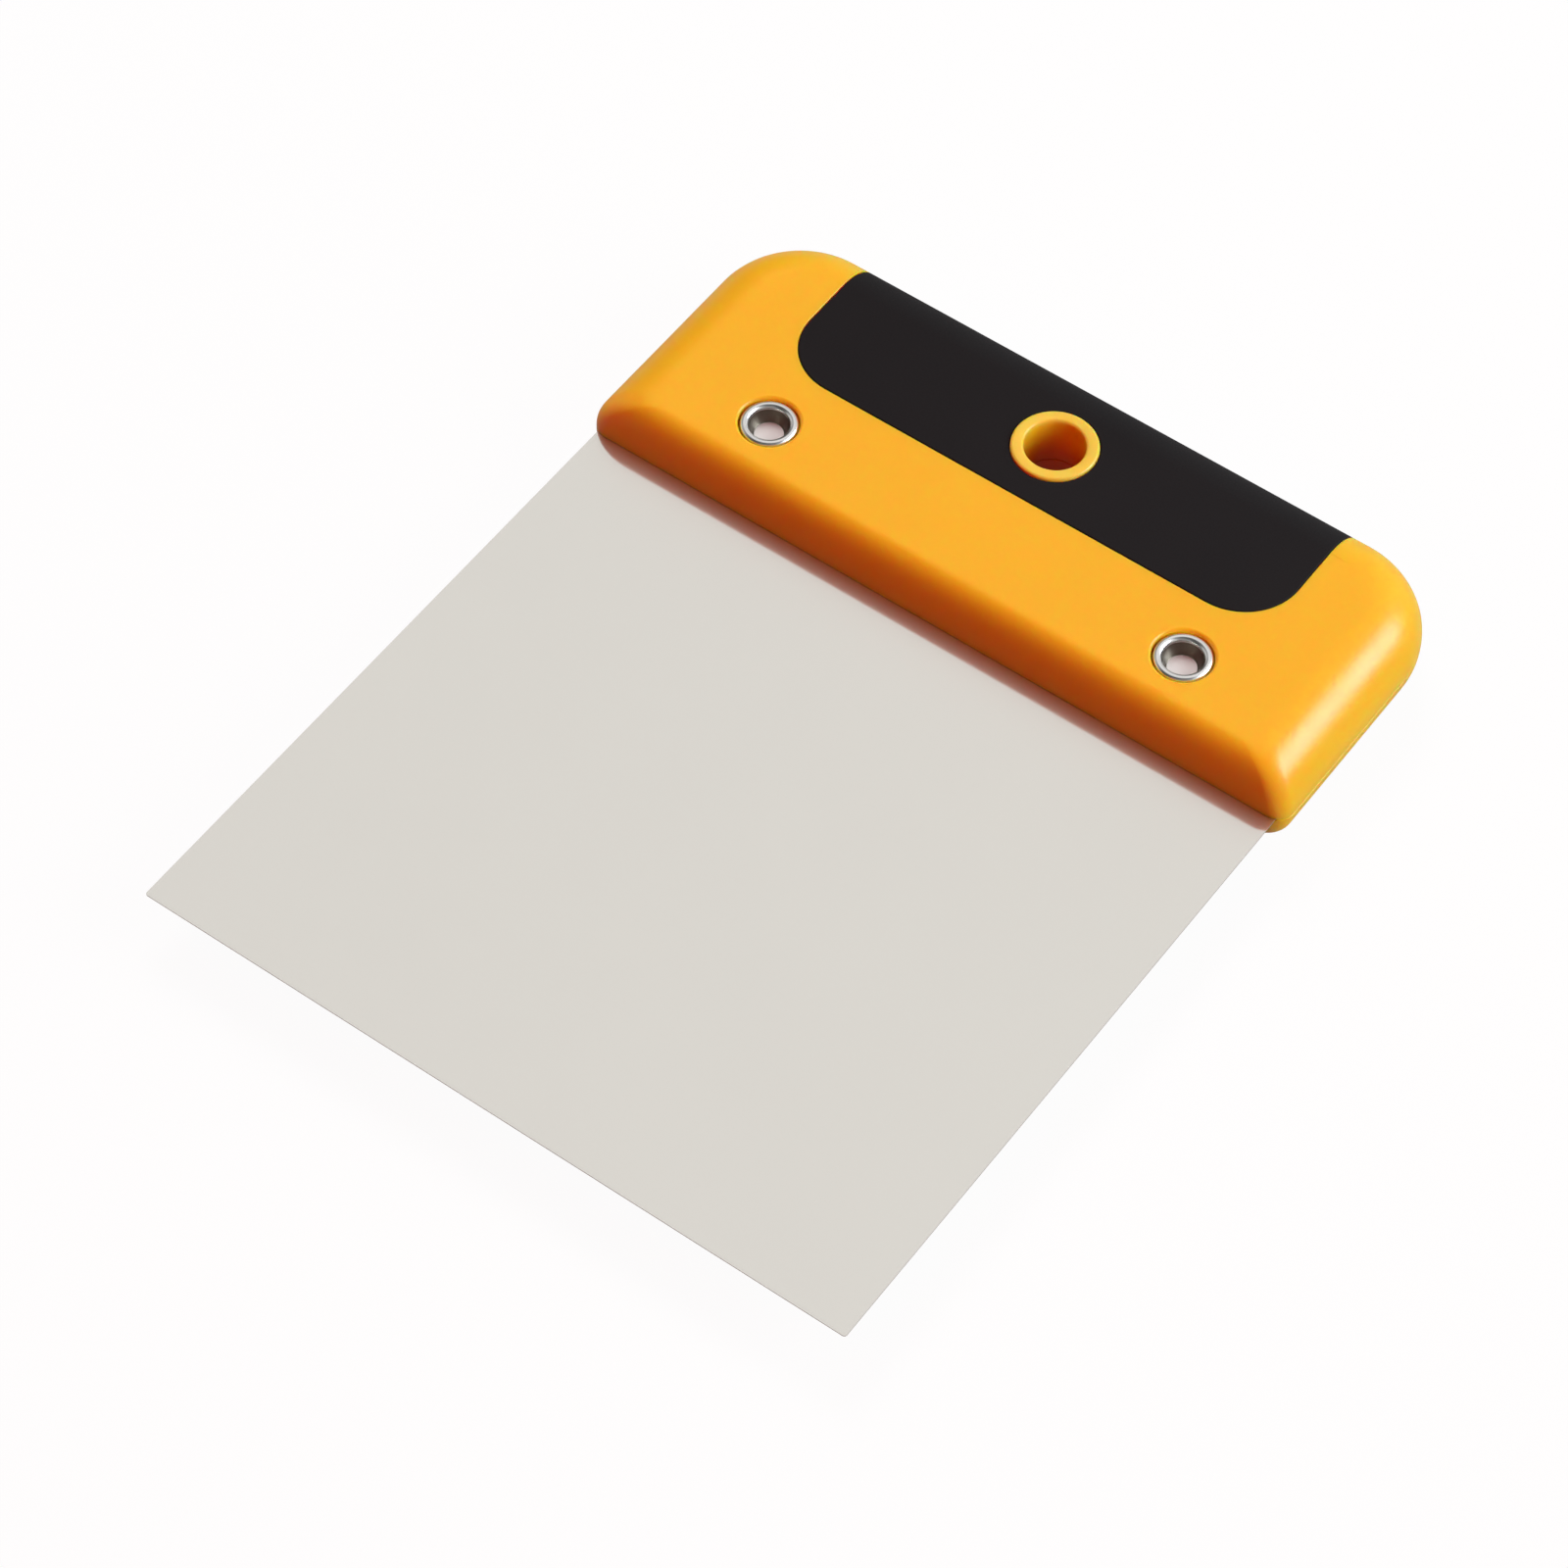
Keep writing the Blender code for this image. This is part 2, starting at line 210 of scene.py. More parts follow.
def combine(piece, operation, tools):
    """Cut the tools out of a piece, or join them to it, and throw the tools away."""
    for tool in tools:
        step = piece.modifiers.new(tool.name, "BOOLEAN")
        step.operation = operation
        step.solver = "EXACT"
        step.object = tool
    graph = bpy.context.evaluated_depsgraph_get()
    mesh = bpy.data.meshes.new_from_object(piece.evaluated_get(graph))
    mesh.name = piece.name
    piece.modifiers.clear()
    piece.data = mesh
    for tool in tools:
        bpy.data.objects.remove(tool)


def hand_over(piece, node):
    """Smooth a finished piece and let it stand for its solid of the frame."""
    piece.data.shade_smooth()
    piece.data.set_sharp_from_angle(angle=SHARP)
    flatten = piece.modifiers.new("weighted_normals", "WEIGHTED_NORMAL")
    flatten.keep_sharp = True
    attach(piece, "root")
    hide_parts(node)
    print(f"{piece.name}: {len(piece.data.polygons)} faces for {node}")


# %% [markdown]
# ## The form of the handle
# Seen from above, the handle is a bar with tight corners beside the blade and wide ones at the
# back. Seen from the side, the ends and the back are almost full rounds, while the front stands up
# straight for about a millimetre and then rolls over in a quarter ellipse. So the form is a loft
# of plan outlines, each drawn in by as much as the two rounds have leaned over at its height.

# %% Handle form
FRONT_DEPTH = 4.5 * MM  # of the quarter ellipse over the front edge
FRONT_HEIGHT = 7.8 * MM
REAR_ROUND = 8.8 * MM
FRONT_CORNER = 3.0 * MM
BACK_CORNER = 16.0 * MM
LEAST_ROUND = 0.4 * MM
LEVELS = 30
FRONT_STEPS = 14
BACK_STEPS = 32


def plan(half_width, front, back, front_corner, back_corner):
    """Plan outline with two corner sizes, starting at the front right corner."""
    right = quarter(half_width - front_corner, front + front_corner, front_corner, -90, FRONT_STEPS)
    right += quarter(half_width - back_corner, back - back_corner, back_corner, 0, BACK_STEPS)
    return both_hands(right)


def lean(height, top, depth, reach):
    """How far a wall has leaned in at a height, where its round is depth wide and reach high."""
    rise = max(0.0, height - (top - reach)) / reach
    return depth * (1 - math.sqrt(max(0.0, 1 - rise ** 2)))


def handle_outline(height, inset):
    """Outline of the handle's form at a height, drawn in by inset on every face."""
    top = TOP - inset
    rear_round = REAR_ROUND - inset
    front_lean = inset + lean(height, top, FRONT_DEPTH - inset, FRONT_HEIGHT - inset)
    rear_lean = inset + lean(height, top, rear_round, rear_round)
    return plan(
        HALF_WIDTH - rear_lean,
        front_lean,
        DEPTH - rear_lean,
        max(FRONT_CORNER - inset, LEAST_ROUND),
        max(BACK_CORNER - rear_lean, LEAST_ROUND),
    )


def half_form(inset, base, chamfer=0.0):
    """Upper half of the handle's form from base to its top, with a chamfer round its base."""
    top = TOP - inset
    stack = [(base, inset + chamfer), (base + chamfer, inset)] if chamfer else [(base, inset)]
    for level in range(1, LEVELS + 1):
        height = top * math.sin(math.pi / 2 * level / LEVELS)
        if height > base + chamfer:
            stack.append((height, inset))
    rings = []
    for height, drawn_in in stack:
        outline = handle_outline(height, drawn_in)
        rings.append([(x, y, height) for x, y in outline])
    return loft(rings)


print(f"handle outline of {len(handle_outline(0.0, 0.0))} points at up to {LEVELS} levels")

# %% [markdown]
# ## The soft grip, cut flat and bent
# Each half of the handle has a pad of black rubber let in flush. It has round front corners, runs
# back over the handle's rear edge and ends at the seam. A pad like that is easiest to design
# flat, where it is a rectangle with two round corners, and then to wrap: the run along the pad
# follows the flat top first and the rear round after it, and the lift stands square to both.
# The pocket in the shell is the same flat shape, grown by a hairline gap and opened with a lip.

# %% Wrapping
GRIP_HALF_WIDTH = grip_high.x
GRIP_FRONT = grip_low.y - BENCH.y
GRIP_CORNER = 10.0 * MM
GRIP_THICKNESS = 1.6 * MM
GRIP_EDGE = 0.3 * MM  # round along the pad's rim
GRIP_GAP = 0.08 * MM  # hairline between the pad and its pocket
POCKET_LIP = 0.18 * MM
SEAM = 0.10 * MM  # between the two halves of the handle
BEND_START = DEPTH - REAR_ROUND
BEND_RUN = REAR_ROUND * math.pi / 2
SEAM_RUN = BEND_START + BEND_RUN + TOP - REAR_ROUND - SEAM / 2
RUN_STEPS = 56
CORNER_STEPS = 18


def wrap(x, run, lift):
    """Point above the handle's surface, where run is measured over that surface from the front."""
    if run <= BEND_START:
        return (x, run, TOP + lift)
    turn = (run - BEND_START) / REAR_ROUND
    if turn <= math.pi / 2:
        reach = REAR_ROUND + lift
        return (x, BEND_START + reach * math.sin(turn), TOP - REAR_ROUND + reach * math.cos(turn))
    return (x, DEPTH + lift, TOP - REAR_ROUND - (run - BEND_START - BEND_RUN))


def pad_ring(grow, lift, end):
    """Outline of the pad, grown all round, wrapped at one lift; it runs from the end to the front."""
    straight = GRIP_FRONT + GRIP_CORNER
    radius = GRIP_CORNER + grow
    right = []
    for step in range(RUN_STEPS):
        right.append((GRIP_HALF_WIDTH + grow, end + (straight - end) * step / RUN_STEPS))
    corner = quarter(GRIP_HALF_WIDTH - GRIP_CORNER, straight, radius, -90, CORNER_STEPS)
    right += list(reversed(corner))
    return [wrap(x, run, lift) for x, run in both_hands(right)]


def pad():
    """The pad itself, with its rim rounded over."""
    rings = [pad_ring(0.0, -GRIP_THICKNESS, SEAM_RUN)]
    for out, up in lip(GRIP_EDGE):
        rings.append(pad_ring(-out, up, SEAM_RUN - out))
    return loft(rings)


def pocket():
    """Cutting tool for the pad's place in a shell."""
    end = SEAM_RUN + PAST
    rings = [pad_ring(GRIP_GAP, -GRIP_THICKNESS - GRIP_GAP, end)]
    for out, up in lip(POCKET_LIP):
        rings.append(pad_ring(GRIP_GAP + out, SKIM + up, end))
    rings.append(pad_ring(GRIP_GAP + out, PAST, end))
    return loft(rings)


print(f"pad {2 * GRIP_HALF_WIDTH / MM:.1f} wide, {(SEAM_RUN - GRIP_FRONT) / MM:.1f} mm long when flat")

# %% [markdown]
# ## The hollow of a shell
# The shells are injection moulded, so there is room to save plastic under the pad, where nobody
# can see it. Ribs stand in that room, and a pair of pegs and sockets lines the halves up. The
# front bar and the ends are left thick here, because light travels some way inside the plastic.
# The hollow is made as one cutting tool: the handle's form drawn in by the wall and the pad,
# only where the pad is, less everything that has to stay standing.

# %% Hollow
WALL = 2.2 * MM
RIB_HALF = 0.8 * MM
RIB_X = 19.0 * MM
TANG = blade_high.y - BENCH.y
STOP_THICKNESS = 1.9 * MM  # of the wall behind the tang
STOP_BACK = TANG + STOP_THICKNESS
PEG_X = 31.0 * MM
PEG_SETBACK = 11.0 * MM
PEG_Y = DEPTH - PEG_SETBACK
PEG_RADIUS = 1.8 * MM
PEG_LENGTH = 4.0 * MM
PEG_BOSS = 3.9 * MM
LOW = -2 * PAST
HIGH = TOP + PAST


def post(radius, low=LOW, high=HIGH):
    """Plain round post."""
    return turned([(0.0, low), (radius, low), (radius, high), (0.0, high)])


def hollow(name, side):
    """Cutting tool for the room under the pad of one shell."""
    tool = place(name, half_form(WALL + GRIP_THICKNESS, -PAST), side=side)
    room = block(GRIP_HALF_WIDTH - WALL, STOP_BACK, DEPTH, LOW, HIGH)
    combine(tool, "INTERSECT", [place(name + "_room", room, side=side)])
    standing = []
    for hand in (-1, 1):
        rib = block(RIB_HALF, 0.0, DEPTH, LOW, HIGH)
        standing.append(place(f"{name}_rib_{hand}", rib, x=hand * RIB_X, side=side))
        standing.append(place(f"{name}_boss_{hand}", post(PEG_BOSS), hand * PEG_X, PEG_Y, side))
    combine(tool, "DIFFERENCE", standing)
    return tool


print(f"hollow starts {STOP_BACK / MM:.1f} mm behind the front edge")

# %% [markdown]
# ## The two shells
# A shell is the handle's form, started just above the seam with a fine chamfer so that the parting
# line reads as a thin groove. The pad's pocket and the hollow come out of it first. Then the ring
# round the hanging hole is joined on, because it stands up through the pad. Last come the hole
# itself, the slot for the blade, and a stepped hole for each rivet: wide enough above for the
# rivet's rolled lip, with a soft rim, and tight round the shank below.

# %% Shells
SEAM_CHAMFER = 0.12 * MM
HOLE_RADIUS = 4.85 * MM
HOLE_LIP = 0.5 * MM
RING_RADIUS = 6.9 * MM
RING_LIP = 0.5 * MM
RING_RISE = 0.4 * MM  # of the upper ring above the pad; the lower one is flush, to lie flat
SLIDE = 0.06 * MM  # room for the tang, above and beside it
SHANK_RADIUS = 3.3 * MM
SEAT_RADIUS = 4.8 * MM
SEAT_DEPTH = 1.7 * MM
SEAT_LIP = 0.65 * MM
HALF_SHEET = (blade_high.z - blade_low.z) / 2


def hole_ring(top):
    """Tube round the hanging hole, with both edges of its top rounded."""
    wall = [(HOLE_RADIUS, SEAM)]
    wall += [(HOLE_RADIUS + out, top + up) for out, up in lip(HOLE_LIP)]
    wall += [(RING_RADIUS - out, top + up) for out, up in reversed(lip(RING_LIP))]
    wall.append((RING_RADIUS, SEAM))
    return turned(wall, tube=True)


def shell(name, side):
    """One half of the handle."""
    piece = place(name, half_form(0.0, SEAM / 2, SEAM_CHAMFER), side=side)
    tools = [place(name + "_pocket", pocket(), side=side), hollow(name + "_hollow", side)]
    tools.append(place(name + "_core", post((HOLE_RADIUS + RING_RADIUS) / 2), y=HOLE_Y, side=side))
    combine(piece, "DIFFERENCE", tools)
    ring = hole_ring(TOP + RING_RISE if side == UPPER else TOP)
    combine(piece, "UNION", [place(name + "_ring", ring, y=HOLE_Y, side=side)])
    slot = block(blade_high.x + SLIDE, -PAST, TANG + SLIDE, -PAST, HALF_SHEET + SLIDE)
    tools = [place(name + "_slot", slot, side=side)]
    for hand in (-1, 1):
        seat = drill([(SHANK_RADIUS + SLIDE, LOW), (SEAT_RADIUS, TOP - SEAT_DEPTH)], TOP, SEAT_LIP)
        tools.append(place(f"{name}_seat_{hand}", seat, hand * RIVET_X, RIVET_Y, side))
    if side == LOWER:
        for hand in (-1, 1):
            socket = post(PEG_RADIUS + SLIDE, -PAST, PEG_LENGTH + SLIDE)
            tools.append(place(f"{name}_socket_{hand}", socket, hand * PEG_X, PEG_Y, side))
    combine(piece, "DIFFERENCE", tools)
    if side == UPPER:
        pegs = []
        for hand in (-1, 1):
            peg = post(PEG_RADIUS, -PEG_LENGTH, PAST)
            pegs.append(place(f"{name}_peg_{hand}", peg, hand * PEG_X, PEG_Y, side))
        combine(piece, "UNION", pegs)
    return piece


upper_handle_shell = shell("upper_handle_shell", UPPER)
lower_handle_shell = shell("lower_handle_shell", LOWER)
hand_over(upper_handle_shell, "upper_shell")
hand_over(lower_handle_shell, "lower_shell")

# %% [markdown]
# ## The two grips
# The pad has only to be bored for the ring that stands up through it. The bore's mouth is rounded
# like the pad's rim, so that the same fine shadow line runs round the ring and round the pad.

# %% Grips


def soft_grip(name, side):
    """One pad, bored for the ring of the hanging hole."""
    piece = place(name, pad(), side=side)
    bore = drill([(RING_RADIUS + GRIP_GAP, 0.0)], TOP, GRIP_EDGE)
    combine(piece, "DIFFERENCE", [place(name + "_bore", bore, y=HOLE_Y, side=side)])
    return piece


upper_soft_grip = soft_grip("upper_soft_grip", UPPER)
lower_soft_grip = soft_grip("lower_soft_grip", LOWER)
hand_over(upper_soft_grip, "upper_grip")
hand_over(lower_soft_grip, "lower_grip")

# %% [markdown]
# ## The blade
# The blade is half a millimetre of rolled steel, sheared to a rectangle, with a tang that reaches
# into the handle. Shearing draws the lower side of an edge in and leaves a narrow upright land
# above it, so the loft has a slanted relief below, the land, and a hairline chamfer on top. The
# land is what draws the thin line along the tip.

# %% Blade
TIP_CORNER = 0.5 * MM
TANG_CORNER = 4.0 * MM
EDGE_BREAK = 0.02 * MM
EDGE_LAND = 0.15 * MM
EDGE_RELIEF = 0.30 * MM
REACH = BENCH.y - blade_low.y


def sheet():
    """Flat sheet with sheared edges."""
    rings = []
    for height, drawn_in in (
        (-HALF_SHEET, EDGE_RELIEF),
        (HALF_SHEET - EDGE_LAND, 0.0),
        (HALF_SHEET - EDGE_BREAK, 0.0),
        (HALF_SHEET, EDGE_BREAK),
    ):
        outline = plan(
            blade_high.x - drawn_in,
            drawn_in - REACH,
            TANG - drawn_in,
            TIP_CORNER - drawn_in,
            TANG_CORNER - drawn_in,
        )
        rings.append([(x, y, height) for x, y in outline])
    return loft(rings)


steel_blade = place("steel_blade", sheet())
tools = []
for hand in (-1, 1):
    hole = post(SHANK_RADIUS + SLIDE)
    tools.append(place(f"tang_hole_{hand}", hole, hand * RIVET_X, RIVET_Y))
combine(steel_blade, "DIFFERENCE", tools)
hand_over(steel_blade, "blade")

# %% [markdown]
# ## The rivets
# Two semi-tubular rivets clamp the stack. Such a rivet has a low domed head below, a solid shank,
# and a tube at its upper end that a press rolls outwards into a lip. From above one sees the
# rounded lip, the tapering wall of the tube and its flat bottom. All of it is one turned section.

# %% Rivets
HEAD_LOW = rivet_low.z - BENCH.z
HEAD_RADIUS = 4.3 * MM
HEAD_THICKNESS = 1.0 * MM
HEAD_CROWN = 0.3 * MM
HEAD_EDGE = 0.15 * MM
LIP_SINK = 0.15 * MM
LIP_TOP = TOP - LIP_SINK
LIP_RADIUS = 4.6 * MM
LIP_ROUND = 0.72 * MM
BORE_RADIUS = 2.45 * MM
BORE_DEPTH = 2.8 * MM
BOTTOM_ROUND = 0.15 * MM
ARC_STEPS = 12


def arc(x, z, radius, start, end):
    """Points of a section's arc, angles in degrees."""
    points = []
    for step in range(ARC_STEPS + 1):
        angle = math.radians(start + (end - start) * step / ARC_STEPS)
        points.append((x + radius * math.cos(angle), z + radius * math.sin(angle)))
    return points


def rivet_section():
    """Half section from the bottom of the tube, over the rolled lip, down to the crown of the head."""
    bottom = LIP_TOP - BORE_DEPTH
    head_high = HEAD_LOW + HEAD_THICKNESS
    section = [(0.0, bottom)]
    section += arc(BORE_RADIUS - BOTTOM_ROUND, bottom + BOTTOM_ROUND, BOTTOM_ROUND, -90, 0)
    section += arc(LIP_RADIUS - LIP_ROUND, LIP_TOP - LIP_ROUND, LIP_ROUND, 180, 90)
    section += arc(LIP_RADIUS - LIP_ROUND, LIP_TOP - LIP_ROUND, LIP_ROUND, 90, -90)
    section += [(SHANK_RADIUS, LIP_TOP - 2 * LIP_ROUND), (SHANK_RADIUS, head_high)]
    section += arc(HEAD_RADIUS - HEAD_EDGE, head_high - HEAD_EDGE, HEAD_EDGE, 90, 0)
    dome = (HEAD_RADIUS ** 2 + HEAD_CROWN ** 2) / (2 * HEAD_CROWN)
    for step in range(ARC_STEPS + 1):
        radius = HEAD_RADIUS * (1 - step / ARC_STEPS)
        section.append((radius, HEAD_LOW + dome - math.sqrt(dome ** 2 - radius ** 2)))
    return section


rivets = {}
for hand, sign in (("left", -1), ("right", 1)):
    name = f"{hand}_tube_rivet"
    rivets[hand] = place(name, turned(rivet_section()), sign * RIVET_X, RIVET_Y)
    hand_over(rivets[hand], f"{hand}_rivet")

# %% [markdown]
# ## Finishes
# Each finish is built on the Principled shader. What is the same all over a surface is set on its
# sockets. What varies comes from noise that is read in the object's own space, in metres, so that
# a quarter-millimetre grain stays a quarter of a millimetre from every side and at every zoom.

# %% Finish helpers
NOISE_LOW, NOISE_HIGH = 0.3, 0.7  # most values of a noise lie between these


def new_finish(name, **sockets):
    """Material with a Principled shader whose plain sockets are set by name."""
    material = bpy.data.materials.new(name)
    material.use_nodes = True
    shader = material.node_tree.nodes["Principled BSDF"]
    for socket, value in sockets.items():
        shader.inputs[socket.replace("_", " ")].default_value = value
    return material, material.node_tree, shader


def add_node(tree, kind, links=None, **settings):
    """Node with its settings, and with inputs linked or set by name."""
    node = tree.nodes.new("ShaderNode" + kind)
    for key, value in settings.items():
        setattr(node, key, value)
    for socket, source in (links or {}).items():
        if isinstance(source, bpy.types.NodeSocket):
            tree.links.new(source, node.inputs[socket])
        else:
            node.inputs[socket].default_value = source
    return node


def own_space(tree, stretch=(1.0, 1.0, 1.0)):
    """The object's own coordinates, stretched if the pattern runs in one direction."""
    place_in_object = add_node(tree, "TexCoord").outputs["Object"]
    mapping = add_node(tree, "Mapping", {"Vector": place_in_object, "Scale": stretch})
    return mapping.outputs["Vector"]


def noise(tree, space, size, detail=2.0):
    """Noise whose features are about as large as size."""
    inputs = {"Vector": space, "Scale": 1 / size, "Detail": detail}
    return add_node(tree, "TexNoise", inputs).outputs["Fac"]


def remap(tree, value, start, end, low=0.0, high=1.0, **settings):
    """Value carried from the range start to end over to the range low to high, and kept in it."""
    limits = {"Value": value, "From Min": start, "From Max": end, "To Min": low, "To Max": high}
    return add_node(tree, "MapRange", limits, **settings).outputs["Result"]


def spread(tree, value, low, high):
    """Noise spread over a range, since its own values keep close to one half."""
    return remap(tree, value, NOISE_LOW, NOISE_HIGH, low, high)


def larger(tree, first, second):
    """Larger of two values."""
    return add_node(tree, "Math", {0: first, 1: second}, operation="MAXIMUM").outputs["Value"]


def distance(tree, space, point):
    """Distance to a point."""
    return add_node(tree, "VectorMath", {0: space, 1: point}, operation="DISTANCE").outputs["Value"]


def tinted(tree, amount, colour, tint):
    """Colour with a plain tint mixed in."""
    inputs = {"Fac": amount, "Color1": colour, "Color2": (*tint, 1.0)}
    return add_node(tree, "MixRGB", inputs).outputs["Color"]


def between(tree, amount, first, second):
    """Colour between two colours."""
    ramp = add_node(tree, "ValToRGB", {"Fac": amount})
    ramp.color_ramp.elements[0].color = (*first, 1.0)
    ramp.color_ramp.elements[1].color = (*second, 1.0)
    return ramp.outputs["Color"]


def raise_grain(tree, shader, height, depth):
    """Bump of a given depth."""
    bump = add_node(tree, "Bump", {"Height": height, "Distance": depth, "Strength": 1.0})
    tree.links.new(bump.outputs["Normal"], shader.inputs["Normal"])


def coat(pieces, *finishes):
    """Give pieces their finishes, in the order of the material slots."""
    for piece in pieces:
        piece.data.materials.clear()
        for finish in finishes:
            piece.data.materials.append(finish)
        print(f"{piece.name}: {', '.join(finish.name for finish in finishes)}")


# %% [markdown]
# ## Orange plastic
# The shells are a satin, strongly coloured plastic. Light sinks a little way into it, red furthest,
# so shaded edges glow instead of going grey. That is subsurface scattering, longest for red.
# Very faint flow marks change the orange from place to place. The rim of the ring round the hole
# gets a painted sheen: a paler, yellower tint that ends at the ring's edge and below its rim.
# With depth, the bore of the hole gets painted shade: a second tint darkens it to a dark red from
# both of its mouths inwards, darker than these lamps leave it.

# %% Orange plastic
ORANGE = (0.765, 0.485, 0.0110)
ORANGE_PALE = (0.785, 0.505, 0.0140)
# painted sheen on the ring's rim, and how far below the rim it reaches
RING_PAINTED_SHEEN = (0.74, 0.61, 0.075)
RIM_SHEEN_DEPTH = 0.8 * MM
# painted shade of the hole's bore, a dark red, and the depth at which it is full
BORE_PAINTED_SHADE = (0.60, 0.18, 0.006)
BORE_SHADE = 7.0 * MM  # depth at which the bore has turned red
FLATTEN = (1.0, 1.0, 0.0)
FLOW_SIZE = 22 * MM
SATIN_SIZE = 6 * MM
SATIN_ROUGHNESS = (0.31, 0.37)
GRAIN_SIZE = 0.25 * MM
GRAIN_DEPTH = 0.002 * MM

orange, tree, shader = new_finish(
    "orange_plastic",
    Specular_IOR_Level=0.25,
    Subsurface_Weight=1.0,
    Subsurface_Radius=(1.0, 0.18, 0.05),
    Subsurface_Scale=2.0 * MM,
)
space = own_space(tree)
flow = between(tree, noise(tree, space, FLOW_SIZE), ORANGE, ORANGE_PALE)
height = add_node(tree, "SeparateXYZ", {"Vector": space}).outputs["Z"]
# mask of the painted sheen on the ring's rim
to_rim = distance(tree, space, (0.0, HOLE_Y, TOP))
painted_sheen = remap(tree, to_rim, RING_RADIUS + GRIP_GAP, RING_RADIUS)
painted_sheen = remap(tree, height, TOP - RIM_SHEEN_DEPTH, TOP, high=painted_sheen)
# mask of the painted shade in the hole's bore, growing with depth from both mouths
to_axis = distance(tree, own_space(tree, FLATTEN), (0.0, HOLE_Y, 0.0))
painted_bore_shade = remap(tree, to_axis, RING_RADIUS - RING_LIP, HOLE_RADIUS + HOLE_LIP)
off_middle = add_node(tree, "Math", {0: height}, operation="ABSOLUTE").outputs["Value"]
painted_bore_shade = remap(tree, off_middle, TOP, TOP - BORE_SHADE, high=painted_bore_shade)
# the painted sheen goes on first, then the painted shade of the bore
colour = tinted(tree, painted_bore_shade, tinted(tree, painted_sheen, flow, RING_PAINTED_SHEEN), BORE_PAINTED_SHADE)
tree.links.new(colour, shader.inputs["Base Color"])
satin = spread(tree, noise(tree, space, SATIN_SIZE), *SATIN_ROUGHNESS)
tree.links.new(satin, shader.inputs["Roughness"])
raise_grain(tree, shader, noise(tree, space, GRAIN_SIZE), GRAIN_DEPTH)
coat((upper_handle_shell, lower_handle_shell), orange)

# %% [markdown]
# ## Black rubber
# The pads are a matt thermoplastic rubber with a fine, even grain. It is nearly black and hardly
# shines, so its specular level is low and its roughness high.

# %% Black rubber
RUBBER = (0.0075, 0.0075, 0.0078)
RUBBER_PALE = (0.0105, 0.0105, 0.0108)
PEBBLE_SIZE = 0.3 * MM
PEBBLE_DEPTH = 0.010 * MM
RUBBER_ROUGHNESS = (0.72, 0.84)

rubber, tree, shader = new_finish("black_rubber", Specular_IOR_Level=0.12)
space = own_space(tree)
colour = between(tree, noise(tree, space, FLOW_SIZE), RUBBER, RUBBER_PALE)
tree.links.new(colour, shader.inputs["Base Color"])
pebbles = noise(tree, space, PEBBLE_SIZE)
tree.links.new(spread(tree, pebbles, *RUBBER_ROUGHNESS), shader.inputs["Roughness"])
raise_grain(tree, shader, pebbles, PEBBLE_DEPTH)
coat((upper_soft_grip, lower_soft_grip), rubber)

# %% [markdown]
# ## Rolled steel
# Cold-rolled stainless sheet is a mirror under a milky haze, with a warm grey tone. One Principled
# shader gives the mirror and a second, rougher one the haze, and a third of the light goes to the
# haze. The rolls leave very fine lines along the sheet, so one noise is stretched along the blade
# and changes the mirror's roughness and height by next to nothing.

# %% Rolled steel
STEEL = (0.755, 0.737, 0.686)
STEEL_PALE = (0.771, 0.753, 0.700)
LINE_SIZE = 0.2 * MM
LINE_STRETCH = (1.0, 0.02, 1.0)
LINE_DEPTH = 0.0002 * MM
MIRROR_ROUGHNESS = (0.08, 0.10)
HAZE_ROUGHNESS = 0.45
HAZE_SHARE = 0.34

steel, tree, shader = new_finish("rolled_steel", Metallic=0.95)
space = own_space(tree)
lines = noise(tree, own_space(tree, LINE_STRETCH), LINE_SIZE)
colour = between(tree, noise(tree, space, FLOW_SIZE), STEEL, STEEL_PALE)
tree.links.new(colour, shader.inputs["Base Color"])
tree.links.new(spread(tree, lines, *MIRROR_ROUGHNESS), shader.inputs["Roughness"])
raise_grain(tree, shader, lines, LINE_DEPTH)
haze = {"Base Color": colour, "Metallic": 1.0, "Roughness": HAZE_ROUGHNESS}
haze = add_node(tree, "BsdfPrincipled", haze)
both = add_node(tree, "MixShader", {0: HAZE_SHARE, 1: shader.outputs[0], 2: haze.outputs[0]})
tree.links.new(both.outputs[0], tree.nodes["Material Output"].inputs["Surface"])
coat((steel_blade,), steel)

# %% [markdown]
# ## Nickel plate
# The rivets are plated steel. Rolling the lip burnishes it in faint rings, so that noise is read
# from the distance to the rivet's axis and from the height, and not from all directions. The wall of
# the tube gets a far darker metal colour, which is painted shade, and the bottom is dull. So the
# inside of the tube has two finishes of its own, and its faces take them by where they are.

# %% Nickel plate
NICKEL = (0.73, 0.715, 0.69)
NICKEL_PALE = (0.79, 0.775, 0.75)
# near-black metal for the tube's wall: painted shade
WALL_PAINTED_SHADE = (0.15, 0.135, 0.105)
WALL_PAINTED_SHADE_PALE = (0.21, 0.19, 0.15)
NICKEL_ROUGHNESS = (0.24, 0.32)
DULL_METALLIC = 0.6
DULL_ROUGHNESS = (0.40, 0.50)
SHADED_WALL_ROUGHNESS = (0.28, 0.36)
RING_SIZE = 0.15 * MM
RING_DEPTH = 0.0015 * MM

